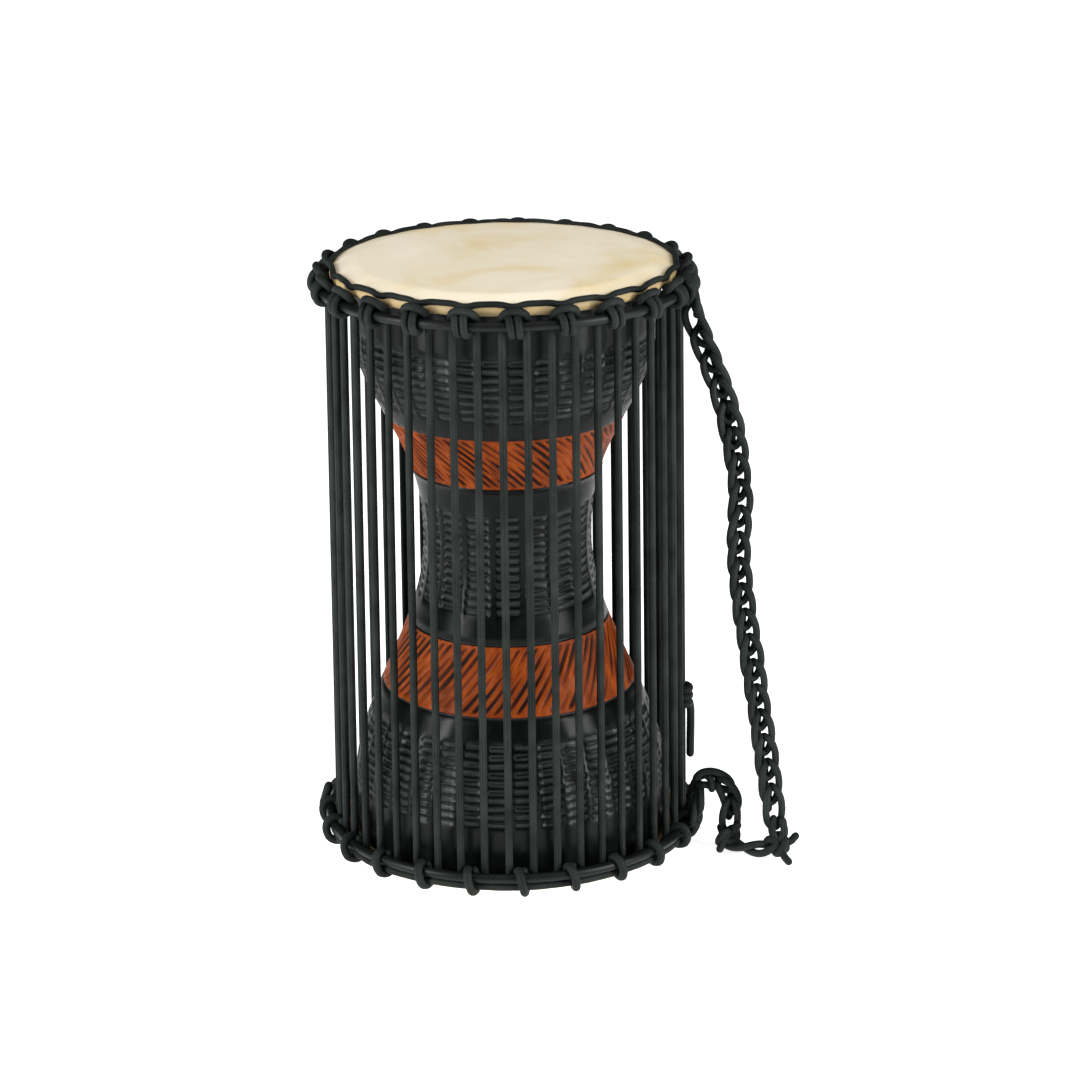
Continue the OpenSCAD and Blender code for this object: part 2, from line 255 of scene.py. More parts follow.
# Braided polyester cord, dyed black: a fine diamond braid with a dull sheen, worn in patches, with painted
# shade in the grooves between the strands so that the crowns read paler.
cordLook = {
    "dark": "#0b0d0d", "mid": "#171b1a", "wearAndBraidShade": "#262b28",
    "carriers": 8,
    "pickMm": 2.4,          # along the cord, from one crossing to the next but one
    "patchMm": 18.18,       # worn and less worn places
    "relief": 0.5, "reliefMm": 0.25,
    "roughness": 0.6, "shine": 0.08,
}


def braidedCord(look):
    material, tree, surface = newMaterial("braidedPolyesterCord")
    lay = addNode(tree, "ShaderNodeAttribute", attribute_name="lay").outputs["Vector"]
    parts = addNode(tree, "ShaderNodeSeparateXYZ", {0: lay}).outputs
    angle = addNode(tree, "ShaderNodeMath", {0: parts[1], 1: parts[0]}, operation="ARCTAN2").outputs[0]
    half = look["carriers"] / 2
    around = addNode(tree, "ShaderNodeMath", {0: angle, 1: half}, operation="MULTIPLY").outputs[0]
    pick = 2 * math.pi / (look["pickMm"] * mm)
    along = addNode(tree, "ShaderNodeMath", {0: parts[2], 1: pick}, operation="MULTIPLY").outputs[0]
    left = addNode(tree, "ShaderNodeMath", {0: around, 1: along}, operation="ADD").outputs[0]
    right = addNode(tree, "ShaderNodeMath", {0: around, 1: along}, operation="SUBTRACT").outputs[0]
    sines = [addNode(tree, "ShaderNodeMath", {0: s}, operation="SINE").outputs[0] for s in (left, right)]
    braid = addNode(tree, "ShaderNodeMath", {0: sines[0], 1: sines[1]}, operation="MULTIPLY").outputs[0]
    crown = addNode(tree, "ShaderNodeMapRange", {
        "Value": braid, "From Min": -1.0, "From Max": 1.0}).outputs["Result"]
    place = addNode(tree, "ShaderNodeTexCoord").outputs["Object"]
    patches = addNode(tree, "ShaderNodeTexNoise", {
        "Vector": place, "Scale": 1 / (look["patchMm"] * mm), "Detail": 4.0}).outputs["Fac"]
    # Painted shade: darker in the braid's grooves and paler on its crowns, added to the worn patches.
    shade = addNode(tree, "ShaderNodeMath", {0: crown, 1: 0.45}, operation="MULTIPLY").outputs[0]
    wearAndBraidShade = addNode(tree, "ShaderNodeMath", {0: shade, 1: patches}, operation="ADD").outputs[0]
    colour = colourRamp(tree, wearAndBraidShade, [(0.3, look["dark"]), (0.62, look["mid"]), (1.0, look["wearAndBraidShade"])])
    bump = addNode(tree, "ShaderNodeBump", {
        "Height": crown, "Strength": look["relief"], "Distance": look["reliefMm"] * mm})
    tree.links.new(colour, surface.inputs["Base Color"])
    tree.links.new(bump.outputs["Normal"], surface.inputs["Normal"])
    surface.inputs["Roughness"].default_value = look["roughness"]
    surface.inputs["Specular IOR Level"].default_value = look["shine"]
    return material


# Goatskin, scraped and dried on the drum: cream, with faint yellow patches, darker tan towards its rim.
skinLook = {
    "pale": "#f3ead6", "cream": "#ebdfc6", "patch": "#e2cd9c", "rim": "#b39c70", "rimDark": "#8f7a51",
    "flatMm": 105.0, "rimMm": 110.5,        # radii between which the skin turns dark
    "patchMm": 71.43, "poreMm": 2.381,
    "relief": 0.12, "reliefMm": 0.2,
    "roughness": 0.6,
    "glow": 0.06, "glowDepth": (0.004, 0.003, 0.0015), "glowScale": 0.5,        # light let through, in metres
}


def goatskin(look):
    material, tree, surface = newMaterial("goatskin")
    place = addNode(tree, "ShaderNodeTexCoord").outputs["Object"]
    patches = addNode(tree, "ShaderNodeTexNoise", {
        "Vector": place, "Scale": 1 / (look["patchMm"] * mm), "Detail": 5.0, "Roughness": 0.55,
        "Distortion": 0.6}).outputs["Fac"]
    colour = colourRamp(tree, patches, [(0.28, look["pale"]), (0.52, look["cream"]), (0.72, look["patch"])])
    pores = addNode(tree, "ShaderNodeTexNoise", {
        "Vector": place, "Scale": 1 / (look["poreMm"] * mm), "Detail": 3.0}).outputs["Fac"]
    rimColour = colourRamp(tree, patches, [(0.3, look["rim"]), (0.7, look["rimDark"])])
    level = (1.0, 1.0, 0.0)
    flat = addNode(tree, "ShaderNodeVectorMath", {0: place, 1: level}, operation="MULTIPLY").outputs[0]
    radius = addNode(tree, "ShaderNodeVectorMath", {0: flat}, operation="LENGTH").outputs["Value"]
    edge = addNode(tree, "ShaderNodeMapRange", {
        "Value": radius, "From Min": look["flatMm"] * mm, "From Max": look["rimMm"] * mm},
        interpolation_type="SMOOTHSTEP")
    mixed = addNode(tree, "ShaderNodeMix", {"Factor": edge.outputs["Result"]}, data_type="RGBA")
    tree.links.new(colour, mixed.inputs[6])
    tree.links.new(rimColour, mixed.inputs[7])
    tree.links.new(mixed.outputs[2], surface.inputs["Base Color"])
    bump = addNode(tree, "ShaderNodeBump", {
        "Height": pores, "Strength": look["relief"], "Distance": look["reliefMm"] * mm})
    tree.links.new(bump.outputs["Normal"], surface.inputs["Normal"])
    surface.inputs["Roughness"].default_value = look["roughness"]
    surface.inputs["Subsurface Weight"].default_value = look["glow"]
    surface.inputs["Subsurface Radius"].default_value = look["glowDepth"]
    surface.inputs["Subsurface Scale"].default_value = look["glowScale"]
    return material


# Carved wood under black lacquer: a low sheen, with painted shade darkest in the cuts and a painted grey
# highlight on the slopes of the cuts.
blackLook = {
    "deep": "#020303", "face": "#060908", "edge": "#151a18", "paintedSheen": "#39403d",
    "grainMm": 11.11, "grainStretch": 0.12,
    "relief": 0.22, "reliefMm": 0.35,
    "roughLow": 0.22, "roughHigh": 0.36, "shine": 0.12,
}


def blackLacquer(look):
    material, tree, surface = newMaterial("blackLacqueredWood")
    place = addNode(tree, "ShaderNodeTexCoord").outputs["Object"]
    stretched = addNode(tree, "ShaderNodeMapping", {
        "Vector": place, "Scale": (1.0, 1.0, look["grainStretch"])}).outputs["Vector"]
    grain = addNode(tree, "ShaderNodeTexNoise", {
        "Vector": stretched, "Scale": 1 / (look["grainMm"] * mm), "Detail": 6.0,
        "Roughness": 0.6}).outputs["Fac"]
    cut = addNode(tree, "ShaderNodeAttribute", attribute_name="cut").outputs["Fac"]
    dust = addNode(tree, "ShaderNodeMath", {0: grain, 1: 0.35}, operation="MULTIPLY").outputs[0]
    # Painted shade: the tone drops with the depth of the cut, darkest at the bottom of the chips and grooves.
    tone = addNode(tree, "ShaderNodeMath", {0: dust, 1: cut}, operation="SUBTRACT").outputs[0]
    colour = colourRamp(tree, tone, [(0.0, look["deep"]), (0.16, look["face"]), (0.32, look["edge"])])
    # Painted highlight: a grey sheen on the mid-depth slopes of the cuts, broken up by the grain.
    facet = colourRamp(tree, cut, [(0.25, "#000000"), (0.5, "#ffffff"), (0.72, "#ffffff"), (0.92, "#000000")])
    paintedSheen = addNode(tree, "ShaderNodeMath", {0: facet, 1: grain}, operation="MULTIPLY").outputs[0]
    mixed = addNode(tree, "ShaderNodeMix", {"Factor": paintedSheen}, data_type="RGBA")
    tree.links.new(colour, mixed.inputs[6])
    mixed.inputs[7].default_value = linearColour(look["paintedSheen"])
    rough = addNode(tree, "ShaderNodeMapRange", {
        "Value": grain, "To Min": look["roughLow"], "To Max": look["roughHigh"]})
    bump = addNode(tree, "ShaderNodeBump", {
        "Height": grain, "Strength": look["relief"], "Distance": look["reliefMm"] * mm})
    tree.links.new(mixed.outputs[2], surface.inputs["Base Color"])
    tree.links.new(rough.outputs["Result"], surface.inputs["Roughness"])
    tree.links.new(bump.outputs["Normal"], surface.inputs["Normal"])
    surface.inputs["Specular IOR Level"].default_value = look["shine"]
    return material


# Oiled orange-brown band: stained wood with painted shade dark in its gouge cuts and a painted highlight on
# their edges.
stainLook = {
    "low": "#521b04", "high": "#8c3a0e", "crestHighlight": "#8a4416", "cut": "#180d07",
    "grainMm": 14.29, "grainStretch": 0.15,
    "relief": 0.3, "reliefMm": 0.3,
    "roughness": 0.42, "shine": 0.08,
}


def stainedWood(look):
    material, tree, surface = newMaterial("orangeStainedWood")
    place = addNode(tree, "ShaderNodeTexCoord").outputs["Object"]
    stretched = addNode(tree, "ShaderNodeMapping", {
        "Vector": place, "Scale": (1.0, 1.0, look["grainStretch"])}).outputs["Vector"]
    grain = addNode(tree, "ShaderNodeTexNoise", {
        "Vector": stretched, "Scale": 1 / (look["grainMm"] * mm), "Detail": 7.0,
        "Roughness": 0.62}).outputs["Fac"]
    wood = colourRamp(tree, grain, [(0.32, look["low"]), (0.66, look["high"])])
    cut = addNode(tree, "ShaderNodeAttribute", attribute_name="cut").outputs["Fac"]
    # Painted shade: the gouges darken with their depth.
    shade = addNode(tree, "ShaderNodeMapRange", {
        "Value": cut, "From Min": 0.25, "From Max": 0.85}, interpolation_type="SMOOTHSTEP").outputs["Result"]
    mixed = addNode(tree, "ShaderNodeMix", {"Factor": shade}, data_type="RGBA")
    tree.links.new(wood, mixed.inputs[6])
    mixed.inputs[7].default_value = linearColour(look["cut"])
    # Painted highlight: paler crests at the shallow edges of the gouges, broken up by the grain.
    lip = colourRamp(tree, cut, [(0.0, "#000000"), (0.14, "#ffffff"), (0.26, "#ffffff"), (0.42, "#000000")])
    paintedSheen = addNode(tree, "ShaderNodeMath", {0: lip, 1: grain}, operation="MULTIPLY").outputs[0]
    crestHighlighted = addNode(tree, "ShaderNodeMix", {"Factor": paintedSheen}, data_type="RGBA")
    tree.links.new(mixed.outputs[2], crestHighlighted.inputs[6])
    crestHighlighted.inputs[7].default_value = linearColour(look["crestHighlight"])
    tree.links.new(crestHighlighted.outputs[2], surface.inputs["Base Color"])
    bump = addNode(tree, "ShaderNodeBump", {
        "Height": grain, "Strength": look["relief"], "Distance": look["reliefMm"] * mm})
    tree.links.new(bump.outputs["Normal"], surface.inputs["Normal"])
    surface.inputs["Roughness"].default_value = look["roughness"]
    surface.inputs["Specular IOR Level"].default_value = look["shine"]
    return material


# Inside of the shell: raw turned wood, dull and grained along its height.
rawLook = {"dark": "#7a5233", "pale": "#a07248", "grainMm": 12.5, "grainStretch": 0.1, "roughness": 0.75}


def rawWood(look):
    material, tree, surface = newMaterial("rawTurnedWood")
    place = addNode(tree, "ShaderNodeTexCoord").outputs["Object"]
    stretched = addNode(tree, "ShaderNodeMapping", {
        "Vector": place, "Scale": (1.0, 1.0, look["grainStretch"])}).outputs["Vector"]
    grain = addNode(tree, "ShaderNodeTexNoise", {
        "Vector": stretched, "Scale": 1 / (look["grainMm"] * mm), "Detail": 6.0}).outputs["Fac"]
    colour = colourRamp(tree, grain, [(0.3, look["dark"]), (0.7, look["pale"])])
    tree.links.new(colour, surface.inputs["Base Color"])
    surface.inputs["Roughness"].default_value = look["roughness"]
    return material


# Powder-coated steel rod, satin black, with the coat's faint orange peel.
rodLook = {
    "coat": "#090b0b", "scuffed": "#121515",
    "peelMm": 1.4286, "scuffMm": 25.0,
    "relief": 0.1, "reliefMm": 0.1,
    "roughLow": 0.3, "roughHigh": 0.46, "shine": 0.14,
}


def coatedSteel(look):
    material, tree, surface = newMaterial("satinPowderCoat")
    place = addNode(tree, "ShaderNodeTexCoord").outputs["Object"]
    peel = addNode(tree, "ShaderNodeTexNoise", {
        "Vector": place, "Scale": 1 / (look["peelMm"] * mm), "Detail": 2.0}).outputs["Fac"]
    scuffs = addNode(tree, "ShaderNodeTexNoise", {
        "Vector": place, "Scale": 1 / (look["scuffMm"] * mm), "Detail": 5.0}).outputs["Fac"]
    colour = colourRamp(tree, scuffs, [(0.35, look["coat"]), (0.7, look["scuffed"])])
    tree.links.new(colour, surface.inputs["Base Color"])
    rough = addNode(tree, "ShaderNodeMapRange", {
        "Value": scuffs, "To Min": look["roughLow"], "To Max": look["roughHigh"]})
    bump = addNode(tree, "ShaderNodeBump", {
        "Height": peel, "Strength": look["relief"], "Distance": look["reliefMm"] * mm})
    tree.links.new(rough.outputs["Result"], surface.inputs["Roughness"])
    tree.links.new(bump.outputs["Normal"], surface.inputs["Normal"])
    surface.inputs["Specular IOR Level"].default_value = look["shine"]
    return material


# Split cane bent to a hoop: straw brown, mottled and slightly rough.
caneLook = {
    "dark": "#8c6a3c", "pale": "#b8925c",
    "mottleMm": 6.25,
    "relief": 0.3, "reliefMm": 0.2,
    "roughness": 0.5,
}


def bentCane(look):
    material, tree, surface = newMaterial("bentCane")
    place = addNode(tree, "ShaderNodeTexCoord").outputs["Object"]
    mottle = addNode(tree, "ShaderNodeTexNoise", {
        "Vector": place, "Scale": 1 / (look["mottleMm"] * mm), "Detail": 5.0}).outputs["Fac"]
    colour = colourRamp(tree, mottle, [(0.3, look["dark"]), (0.7, look["pale"])])
    tree.links.new(colour, surface.inputs["Base Color"])
    bump = addNode(tree, "ShaderNodeBump", {
        "Height": mottle, "Strength": look["relief"], "Distance": look["reliefMm"] * mm})
    tree.links.new(bump.outputs["Normal"], surface.inputs["Normal"])
    surface.inputs["Roughness"].default_value = look["roughness"]
    return material


cordBlack = braidedCord(cordLook)
headSkin = goatskin(skinLook)
blackWood = blackLacquer(blackLook)
orangeWood = stainedWood(stainLook)
innerWood = rawWood(rawLook)
rodBlack = coatedSteel(rodLook)
caneBrown = bentCane(caneLook)
print("materials made")


# A ring as the CAD model has it: its middle circle's radius and height, and its rod's radius.
def ringOf(node):
    low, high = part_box(node)
    rod = (high.z - low.z) / 2
    return {"radius": (high.x - rod) / mm, "height": (low.z + high.z) / 2 / mm, "rod": rod / mm}


topRing, bottomRing = ringOf("top_lacing_ring"), ringOf("bottom_lacing_ring")
lacing = {
    "hitches": 23,
    "firstTurn": 3.0 - 90.0,
    "sectorHitches": 2,
    "cord": 5.0,
    "gap": 0.3,             # from the rings' rods to the runs
    "sides": 14,
    "runPoints": 24,
}
hitchStep = 360 / lacing["hitches"]
runSpread = hitchStep / 4
runInset = topRing["rod"] + lacing["gap"] + lacing["cord"] / 2
topRun = topRing["radius"] - runInset
bottomRun = bottomRing["radius"] - runInset


def hitchTurn(i):
    return lacing["firstTurn"] + i * hitchStep


def turned(radius, turn, height):
    angle = math.radians(turn)
    return np.array([radius * math.cos(angle), radius * math.sin(angle), height])


# Strap: chain stitch of one cord, from the upper ring to the ground and back to the lower ring.
strap = {
    "cord": 4.9,
    "sides": 12,
    "pitch": 17.4,          # stitch to stitch
    "endGap": 6,            # the longer chain stops this far short of its route's end
    "shortPitch": 15.6,
    "shortStitches": 3,
    "shortWidth": 0.85,     # of the longer chain's width
    "widths": (0.94, 1.05),     # narrowest and widest stitch, as shares
    "uneven": 0.2,
    "seed": 5,
    # One stitch: along in stitches, across and towards the face in mm.
    "stitch": [(0.00, -2.3, 0.4), (0.20, -4.4, 2.5), (0.55, -5.9, 2.0), (0.98, -6.1, 0.2), (1.32, -4.9, -1.7),
               (1.55, -2.5, -2.6), (1.62, 0.0, -2.8), (1.55, 2.5, -2.6), (1.32, 4.9, -1.7), (0.98, 6.1, 0.2),
               (0.55, 5.9, 2.0), (0.20, 4.4, 2.5), (0.00, 2.5, 0.2), (-0.02, 1.6, -3.0), (0.20, 0.6, -5.4),
               (0.62, -0.2, -6.8), (0.88, -1.4, -5.0)],
    "longRoute": [(119, -35, 372), (123, -37, 357), (132, -39, 333), (140, -41, 310), (147, -43, 277),
                  (150, -45, 244), (149, -47, 211), (152, -49, 177), (157, -51, 144), (162, -53, 109),
                  (167, -55, 75), (172, -57, 40), (175, -59, 18)],
    "shortRoute": [(124, -37, 46), (130, -38, 49), (137, -40, 48), (143, -42, 43), (146, -44, 34),
                   (145, -45, 20)],
    "longFace": 20.0, "shortFace": 8.0,         # how far round from the front each chain's face looks
    "longTwist": -62.0, "shortTwist": -30.0,    # more at the ring, and gone this far along:
    "twistFades": 110,
}


# The frame that rides along a route: its points, length, headings and the two directions square to it.
def routeFrame(points, turn, twist):
    line = smoothLine(points, 24)
    step = np.linalg.norm(np.diff(line, axis=0), axis=1)
    length = np.concatenate([[0], np.cumsum(step)])
    even = np.linspace(0, length[-1], len(line))
    line = np.column_stack([np.interp(even, length, line[:, i]) for i in range(3)])
    heading = np.gradient(line, axis=0)
    heading /= np.linalg.norm(heading, axis=1)[:, None]
    angle = np.radians(turn + twist * np.clip(1 - even / strap["twistFades"], 0, 1))
    face = np.column_stack([np.sin(angle), -np.cos(angle), np.zeros(len(line))])
    face -= heading * np.sum(face * heading, axis=1)[:, None]
    face /= np.linalg.norm(face, axis=1)[:, None]
    across = np.cross(face, heading)
    return line, even, heading, across, face


# Places (along, across, towards the face) by a route's frame.
def byRoute(route, local):
    line, even, heading, across, face = route
    s = np.clip(local[:, 0], 0, even[-1])
    over = (local[:, 0] - s)[:, None]       # past the route's end, straight on

    def pick(values):
        return np.column_stack([np.interp(s, even, values[:, i]) for i in range(3)])

    return pick(line) + over * pick(heading) + local[:, 1:2] * pick(across) + local[:, 2:3] * pick(face)


# The cord of a chain, worked stitch by stitch along a route.
def chainLine(route, stitches, pitch, width=1.0):
    rng = random.Random(strap["seed"])
    uneven = strap["uneven"]
    local = []
    for k in range(stitches):
        wide = rng.uniform(*strap["widths"])
        for along, across, towards in strap["stitch"]:
            raised = towards + rng.uniform(-uneven, uneven)
            local.append(((k + along) * pitch, across * wide * width, raised))
    return byRoute(route, smoothLine(np.array(local), 5))


def strapCords(name, paths, diameter):
    return sweptCords(name, paths, diameter, strap["sides"], cordBlack)


longRoute = routeFrame(strap["longRoute"], strap["longFace"], strap["longTwist"])
shortRoute = routeFrame(strap["shortRoute"], strap["shortFace"], strap["shortTwist"])
longLength = longRoute[1][-1]
print("strap routes", round(longLength), round(shortRoute[1][-1]))

longStitches = int((longLength - strap["endGap"]) / strap["pitch"])
longChain = strapCords("strapLongChain", [chainLine(longRoute, longStitches, strap["pitch"])], strap["cord"])
shortStitches = chainLine(shortRoute, strap["shortStitches"], strap["shortPitch"], strap["shortWidth"])
shortChain = strapCords("strapShortChain", [shortStitches], strap["cord"])


# The two knots on the floor. Points are (x, y) from the knot's place, with their height above the floor.
cordLow = strap["cord"] / 2 + 0.5
knotCordMm = 5.2
longKnotShape = {
    "place": (176, -60), "middle": 9.6,
    "size": 2.5, "high": 4.4, "spin": 20,
    "tails": ([(5, 3, 8.5), (9, 4, 10.0), (12, 5, 13.0)], [(2, -6, 6.5), (4, -10, 4.0), (6, -14, cordLow)]),
    "leads": ([(-3, 2, 27.0), (-4, 0, 19.0), (-1, -1, 13.0), (3, 0, 9.0)],
              [(3, 0, 26.0), (4, -1, 18.0), (1, -2, 12.0)]),
}
shortKnotShape = {
    "place": (143, -46), "middle": 10.4,
    "size": 2.3, "high": 4.4, "spin": 75,
    "tails": ([(4, -3, 14.0), (7, -4, 19.0)], [(-3, -5, 7.0), (-5, -8, cordLow + 1)]),
}


def nearKnot(shape, points):
    x, y = shape["place"]
    return [(x + across, y + back, height) for across, back, height in points]


# Overhand knot as a tight trefoil, opened so that its two ends leave as tails.
def knotLine(shape):
    t = np.linspace(0.12, 2 * math.pi - 0.12, 60)
    loop = np.column_stack([np.sin(t) + 2 * np.sin(2 * t), np.cos(t) - 2 * np.cos(2 * t), -np.sin(3 * t)])
    loop *= (shape["size"], shape["size"], shape["high"])
    c, s = math.cos(math.radians(shape["spin"])), math.sin(math.radians(shape["spin"]))
    x, y, z = loop.T
    loop = np.column_stack([x * c - y * s, x * s + y * c, z]) + (*shape["place"], shape["middle"])
    before, after = (nearKnot(shape, tail) for tail in shape["tails"])
    return smoothLine(np.vstack([before[::-1], loop[::3], after]), 4)


longLeads = [smoothLine(nearKnot(longKnotShape, lead), 8) for lead in longKnotShape["leads"]]
longKnot = strapCords("strapLongKnot", [knotLine(longKnotShape)] + longLeads, knotCordMm)

# The twisted loop that lies between the knots.
link = {"turns": 0.85, "lead": 0.3, "wide": 3.6, "high": 3.0, "bow": 9.0, "start": 6.4, "climb": 2.0}


# One of the loop's two strands.
def linkStrand(lead):
    t = np.linspace(0, 1, 22)
    a = 2 * math.pi * link["turns"] * t + lead
    (startX, startY), (endX, endY) = shortKnotShape["place"], longKnotShape["place"]
    x = startX + (endX - startX) * t
    y = startY + (endY - startY) * t + link["wide"] * np.sin(a) - link["bow"] * np.sin(math.pi * t)
    return np.column_stack([x, y, link["start"] + link["high"] * np.cos(a) + link["climb"] * t])


strands = [linkStrand(link["lead"]), linkStrand(link["lead"] + math.pi)]
shortKnot = strapCords("strapShortKnot", [knotLine(shortKnotShape)] + strands, knotCordMm)


# Where the strap is looped on the rings: two turns round each rod, whose two ends go on into the chain.
hitch = {
    "turn": hitchTurn(4.5),     # between two hitches of the lacing
    "radius": topRing["rod"] + 3.8,     # of the turns, about the rod's middle
    "loops": 2, "loopSteps": 16,
    "topSpacing": 5.4, "topStart": 60,
    "topEnds": ([(118, -31, 386), (120, -30, 378)], [(122, -40, 376), (122, -38, 366)]),
    "bottomSpacing": 5.2, "bottomStart": 40,
    "bottomEnds": ([(124, -31, 30), (125, -34, 42)], [(126, -40, 28), (126, -39, 42)]),
    "bottomOver": [(120, -29, 36), (123, -31, 44), (127, -36, 50), (132, -41, 49), (133, -44, 43)],
}


def ringLoops(ring, spacing, start, ends):
    local = []
    steps, loops, reach = hitch["loopSteps"], hitch["loops"], hitch["radius"]
    for k in range(loops * steps + 1):
        a = math.radians(start - 360 * k / steps)
        along = (k / steps - loops / 2) * spacing
        out, up = reach * math.cos(a), reach * math.sin(a)
        local.append(atRing(ring["radius"], ring["height"], hitch["turn"], along, out, up))
    return smoothLine(np.vstack([ends[0], local, ends[1]]), 4)


topLoops = ringLoops(topRing, hitch["topSpacing"], hitch["topStart"], hitch["topEnds"])
topHitch = strapCords("strapTopHitch", [topLoops], strap["cord"])
bottomLoops = ringLoops(bottomRing, hitch["bottomSpacing"], hitch["bottomStart"], hitch["bottomEnds"])
bottomHitch = strapCords("strapBottomHitch", [bottomLoops, smoothLine(hitch["bottomOver"], 8)], strap["cord"])

for piece, node in ((longChain, "strap_long"), (shortChain, "strap_short"), (longKnot, "strap_long_knot"),
                    (shortKnot, "strap_short_knot"), (topHitch, "strap_top_hitch"),
                    (bottomHitch, "strap_bottom_hitch")):
    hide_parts(node)
    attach(piece, "shell")


rodPoints, rodSides = 240, 24


def circleLine(radius, height, count):
    return [turned(radius, 360 * i / count, height) for i in range(count)]


for name, ring, body, node in (("topRingRod", topRing, "top_rim", "top_lacing_ring"),
                               ("bottomRingRod", bottomRing, "bottom_rim", "bottom_lacing_ring")):
    circle = circleLine(ring["radius"], ring["height"], rodPoints)
    rod = sweptCords(name, [circle], 2 * ring["rod"], rodSides, rodBlack, closed=True)
    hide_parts(node)
    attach(rod, body)

# Places along the rim, outwards and up from the rod's centre, in mm. The crown cord runs on the rolled edge
# of the skin and dips at each hitch; there a bight of the lacing holds it down over two turns round the rod.
# At the lower end the crown cord lies under the rod, and the bights are tucked behind it.
rimCords = {
    "sides": 12,
    "crownSway": 0.25, "wrapSway": 0.3,
    "top": {
        "crownMm": 4.0, "wrapMm": 4.8, "seed": 3,
        "crown": [(-15.4, -8.5, 12.3), (-11.0, -8.4, 12.3), (-7.0, -8.1, 12.0), (-3.4, -7.5, 11.3),
                  (0.0, -7.2, 11.0), (3.4, -7.5, 11.3), (7.0, -8.1, 12.0), (11.0, -8.4, 12.3)],
        "wrap": [(-4.4, -5.2, 6.4), (-4.0, -0.6, 7.0), (-3.2, 3.8, 4.4), (-2.5, 5.3, 0.2), (-1.9, 4.0, -3.6),
                 (-1.3, 0.2, -5.2), (-1.0, -4.0, -3.6), (-0.7, -5.3, 0.2), (0.2, -4.0, 4.6), (1.3, 0.3, 6.4),
                 (2.0, 4.0, 4.2), (2.4, 5.4, 0.0), (3.0, 4.1, -4.0), (3.5, 0.2, -5.4), (3.6, -4.0, -3.8),
                 (3.4, -5.4, 0.2), (2.9, -5.2, 4.2)],
        "bight": [(7.9, -6.0, 0.0), (8.2, -5.0, 2.6), (7.9, -3.0, 5.2), (6.6, -0.8, 7.6), (4.2, 0.9, 9.4),
                  (1.6, 1.6, 10.2)],
    },
    "bottom": {
        "crownMm": 5.0, "wrapMm": 5.6, "seed": 8,
        "crown": [(-15.4, -1.0, -6.0), (-11.0, -1.0, -6.0), (-7.0, -1.0, -6.0), (-3.4, -1.2, -6.1),
                  (0.0, -1.3, -6.2), (3.4, -1.2, -6.1), (7.0, -1.0, -6.0), (11.0, -1.0, -6.0)],
        "wrap": [(-3.2, -6.4, -1.6), (-2.8, -4.6, 2.8), (-2.2, -0.6, 5.0), (-1.4, 3.8, 3.8), (-0.6, 5.8, 0.0),
                 (0.4, 5.4, -4.6), (1.2, 3.2, -8.2), (2.0, -1.4, -9.8), (2.6, -5.4, -8.4), (2.8, -6.8, -4.6),
                 (2.4, -6.2, -0.6), (1.4, -4.6, 3.0)],
        "bight": [(7.7, -6.0, 0.0), (7.6, -6.6, -2.0), (6.4, -7.6, -4.2), (3.8, -8.4, -6.0),
                  (1.3, -8.8, -6.8)],
    },
}


# The same places at every hitch, each a little different.
def aroundRim(ring, places, seed, sway, closed=False):
    rng = random.Random(seed)
    lines = []
    for i in range(lacing["hitches"]):
        shift, out, lift = (rng.uniform(-sway, sway) for _ in range(3))
        line = []
        for a, o, u in places:
            along = (a + shift) * ring["radius"] / topRing["radius"]
            line.append(atRing(ring["radius"], ring["height"], hitchTurn(i), along, o + out * 0.5, u + lift))
        lines.append(line)
    return [smoothLine(sum(lines, []), 5, closed=True)] if closed else [smoothLine(line, 4) for line in lines]


for end, ring in (("top", topRing), ("bottom", bottomRing)):
    rim, sides = rimCords[end], rimCords["sides"]
    crownLine = aroundRim(ring, rim["crown"], rim["seed"], rimCords["crownSway"], closed=True)
    crown = sweptCords(end + "CrownCord", crownLine, rim["crownMm"], sides, cordBlack, closed=True)
    wrapLines = aroundRim(ring, rim["wrap"], rim["seed"] + 1, rimCords["wrapSway"])
    wraps = sweptCords(end + "RingWraps", wrapLines, rim["wrapMm"], sides, cordBlack)
    arch = [(-a, o, u) for a, o, u in rim["bight"]] + rim["bight"][::-1]
    archLines = aroundRim(ring, arch, rim["seed"] + 2, 0.0)
    bights = sweptCords(end + "LacingBights", archLines, lacing["cord"], sides, cordBlack)
    for piece, node, slot in ((crown, "_crown_cord", "rim_cord"), (wraps, "_ring_wraps", "rim_cord"),
                              (bights, "_lacing_bights", "lacing_cord")):
        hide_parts(end + node)
        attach(piece, end + "_rim")
print("rims laced")

# Runs: each half swings about its own ring, with its tips centred on the pivot and on the run's middle.
sectors = math.ceil(lacing["hitches"] / lacing["sectorHitches"])
for sector in range(sectors):
    first = sector * lacing["sectorHitches"]
    past = min(first + lacing["sectorHitches"], lacing["hitches"])
    turns = [hitchTurn(i) + side * runSpread for i in range(first, past) for side in (-1, 1)]
    for level, radius, ring in (("upper", topRun, topRing), ("lower", bottomRun, bottomRing)):
        node = "lacing_%s_%02d" % (level, sector + 1)
        paths = []
        for turn in turns:
            a = turned(radius, turn, ring["height"])
            b = (turned(topRun, turn, topRing["height"]) + turned(bottomRun, turn, bottomRing["height"])) / 2
            paths.append([a + (b - a) * t for t in np.linspace(0, 1, lacing["runPoints"])])
        name = "lacing%s%02d" % (level.capitalize(), sector + 1)
        runs = sweptCords(name, paths, lacing["cord"], lacing["sides"], cordBlack)
        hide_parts(node)
        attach(runs, "%s_sector_%02d" % (level, sector + 1))
print("lacing made in", sectors, "sectors")

